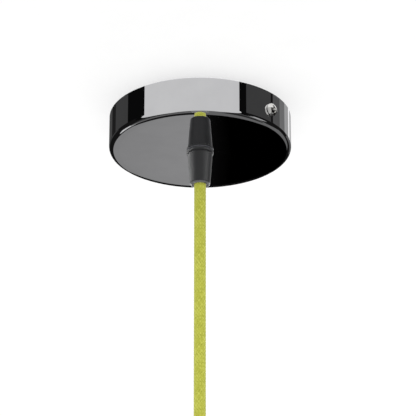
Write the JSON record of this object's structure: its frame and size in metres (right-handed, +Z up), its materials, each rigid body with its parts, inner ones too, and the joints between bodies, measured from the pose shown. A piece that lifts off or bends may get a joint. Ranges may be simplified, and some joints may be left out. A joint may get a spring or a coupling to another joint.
{
  "type": "pendant cord set",
  "caption": "Round ceiling canopy with side screws, bracket and terminal block, a conical cord grip, a taut textile cord and a plain screw lamp holder.",
  "frame": {"origin": "middle of the ceiling bracket's top face, on the ceiling plane and on the cord's axis", "axes": "+Z up into the ceiling, X along the bracket through both side screws"},
  "size_m": [0.1052, 0.1, 0.264],
  "materials": {
    "polished_chrome": "chrome plating on pressed steel, mirror polished",
    "bright_steel": "nickel-plated steel, polished",
    "zinc_steel": "zinc-plated steel, satin",
    "black_plastic": "moulded black polyamide, satin",
    "lime_textile": "lime green braided textile sleeve",
    "white_plastic": "moulded natural polyamide",
    "brass": "turned and pressed brass",
    "ceramic": "glazed steatite ceramic",
    "tinned_copper": "tinned copper, crimped",
    "brown_sleeve": "brown insulation, smooth",
    "blue_sleeve": "blue insulation, smooth",
    "green_yellow_sleeve": "green and yellow striped insulation, smooth"
  },
  "bodies": {
    "root": {"canopy_shell": "polished_chrome", "holder_shell": "polished_chrome", "side_screw_right": "bright_steel", "side_screw_left": "bright_steel", "ceiling_bracket": "zinc_steel", "canopy_lock_nut": "zinc_steel", "canopy_lock_washer": "zinc_steel", "holder_lock_nut": "zinc_steel", "holder_strap": "zinc_steel", "earth_screw": "zinc_steel", "holder_earth_screw": "zinc_steel", "body_screw_right": "zinc_steel", "body_screw_left": "zinc_steel", "holder_terminal_screw_live": "zinc_steel", "holder_terminal_screw_neutral": "zinc_steel", "block_screw_live_1": "zinc_steel", "block_screw_live_2": "zinc_steel", "block_screw_earth_1": "zinc_steel", "block_screw_earth_2": "zinc_steel", "block_screw_neutral_1": "zinc_steel", "block_screw_neutral_2": "zinc_steel", "canopy_grip_base": "black_plastic", "canopy_grip_cone": "black_plastic", "holder_grip_base": "black_plastic", "holder_grip_cone": "black_plastic", "supply_cord": "lime_textile", "terminal_block": "white_plastic", "block_clamp_live": "brass", "block_clamp_earth": "brass", "block_clamp_neutral": "brass", "socket_lining": "brass", "centre_contact": "brass", "live_rivet": "brass", "neutral_rivet": "brass", "holder_terminal_live": "brass", "holder_terminal_neutral": "brass", "holder_body": "ceramic", "bonding_lug": "tinned_copper", "holder_earth_lug": "tinned_copper", "canopy_core_live": "brown_sleeve", "holder_core_live": "brown_sleeve", "canopy_core_neutral": "blue_sleeve", "holder_core_neutral": "blue_sleeve", "canopy_core_earth": "green_yellow_sleeve", "holder_core_earth": "green_yellow_sleeve", "bonding_lead": "green_yellow_sleeve"}
  },
  "joints": []
}
